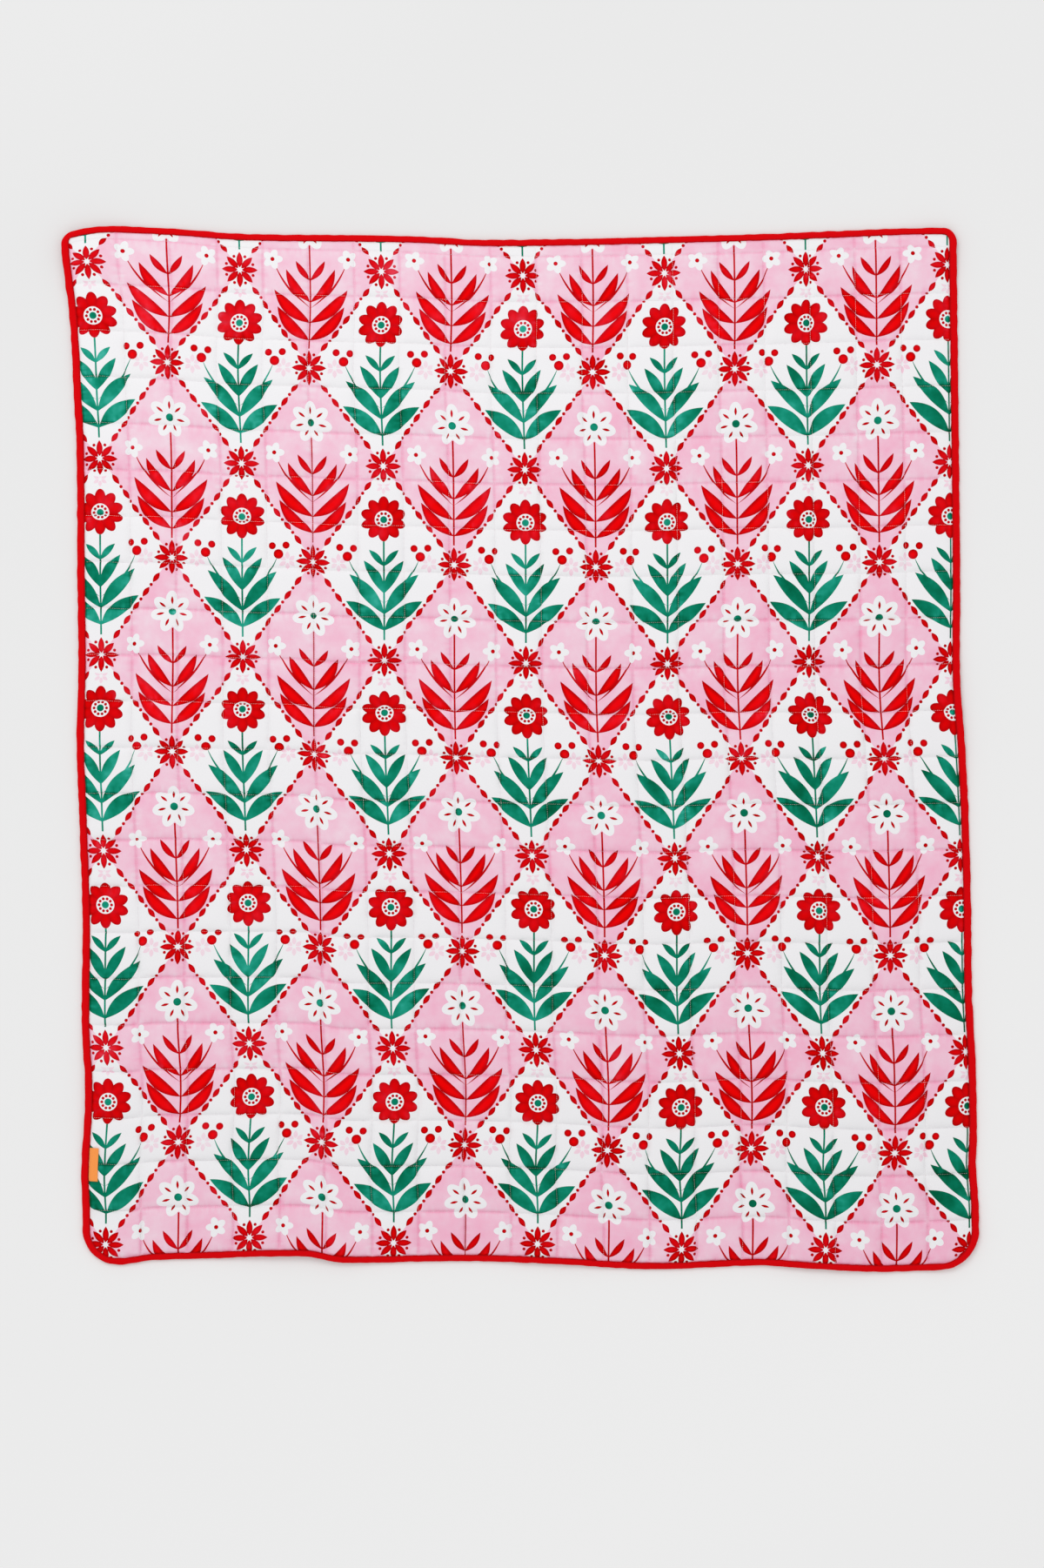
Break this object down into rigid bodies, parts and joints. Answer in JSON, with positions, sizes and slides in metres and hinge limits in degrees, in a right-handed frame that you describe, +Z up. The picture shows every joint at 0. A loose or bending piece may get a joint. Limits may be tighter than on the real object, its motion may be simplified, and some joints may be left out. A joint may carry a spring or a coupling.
{
  "type": "quilted blanket",
  "caption": "Rectangular quilted cotton throw with rounded corners, square quilting, low padded crowns, a folded red edge binding and a small side label, lying flat and printed side up.",
  "frame": {"origin": "on the resting surface, under the middle of the throw's box", "axes": "+X across the throw to its right edge, +Y along the throw from the hem to the top edge, +Z up, out of the printed face"},
  "size_m": [1.3184, 1.5028, 0.015],
  "materials": {
    "printed_cotton": "matt plain-weave cotton, printed, quilted over a thin fill",
    "binding_cotton": "matt plain-weave red cotton, cut on the bias and folded",
    "label_satin": "smooth woven orange satin ribbon, folded"
  },
  "bodies": {
    "root": {"quilted_panel": "printed_cotton", "edge_binding": "binding_cotton", "side_label": "label_satin"}
  },
  "joints": []
}
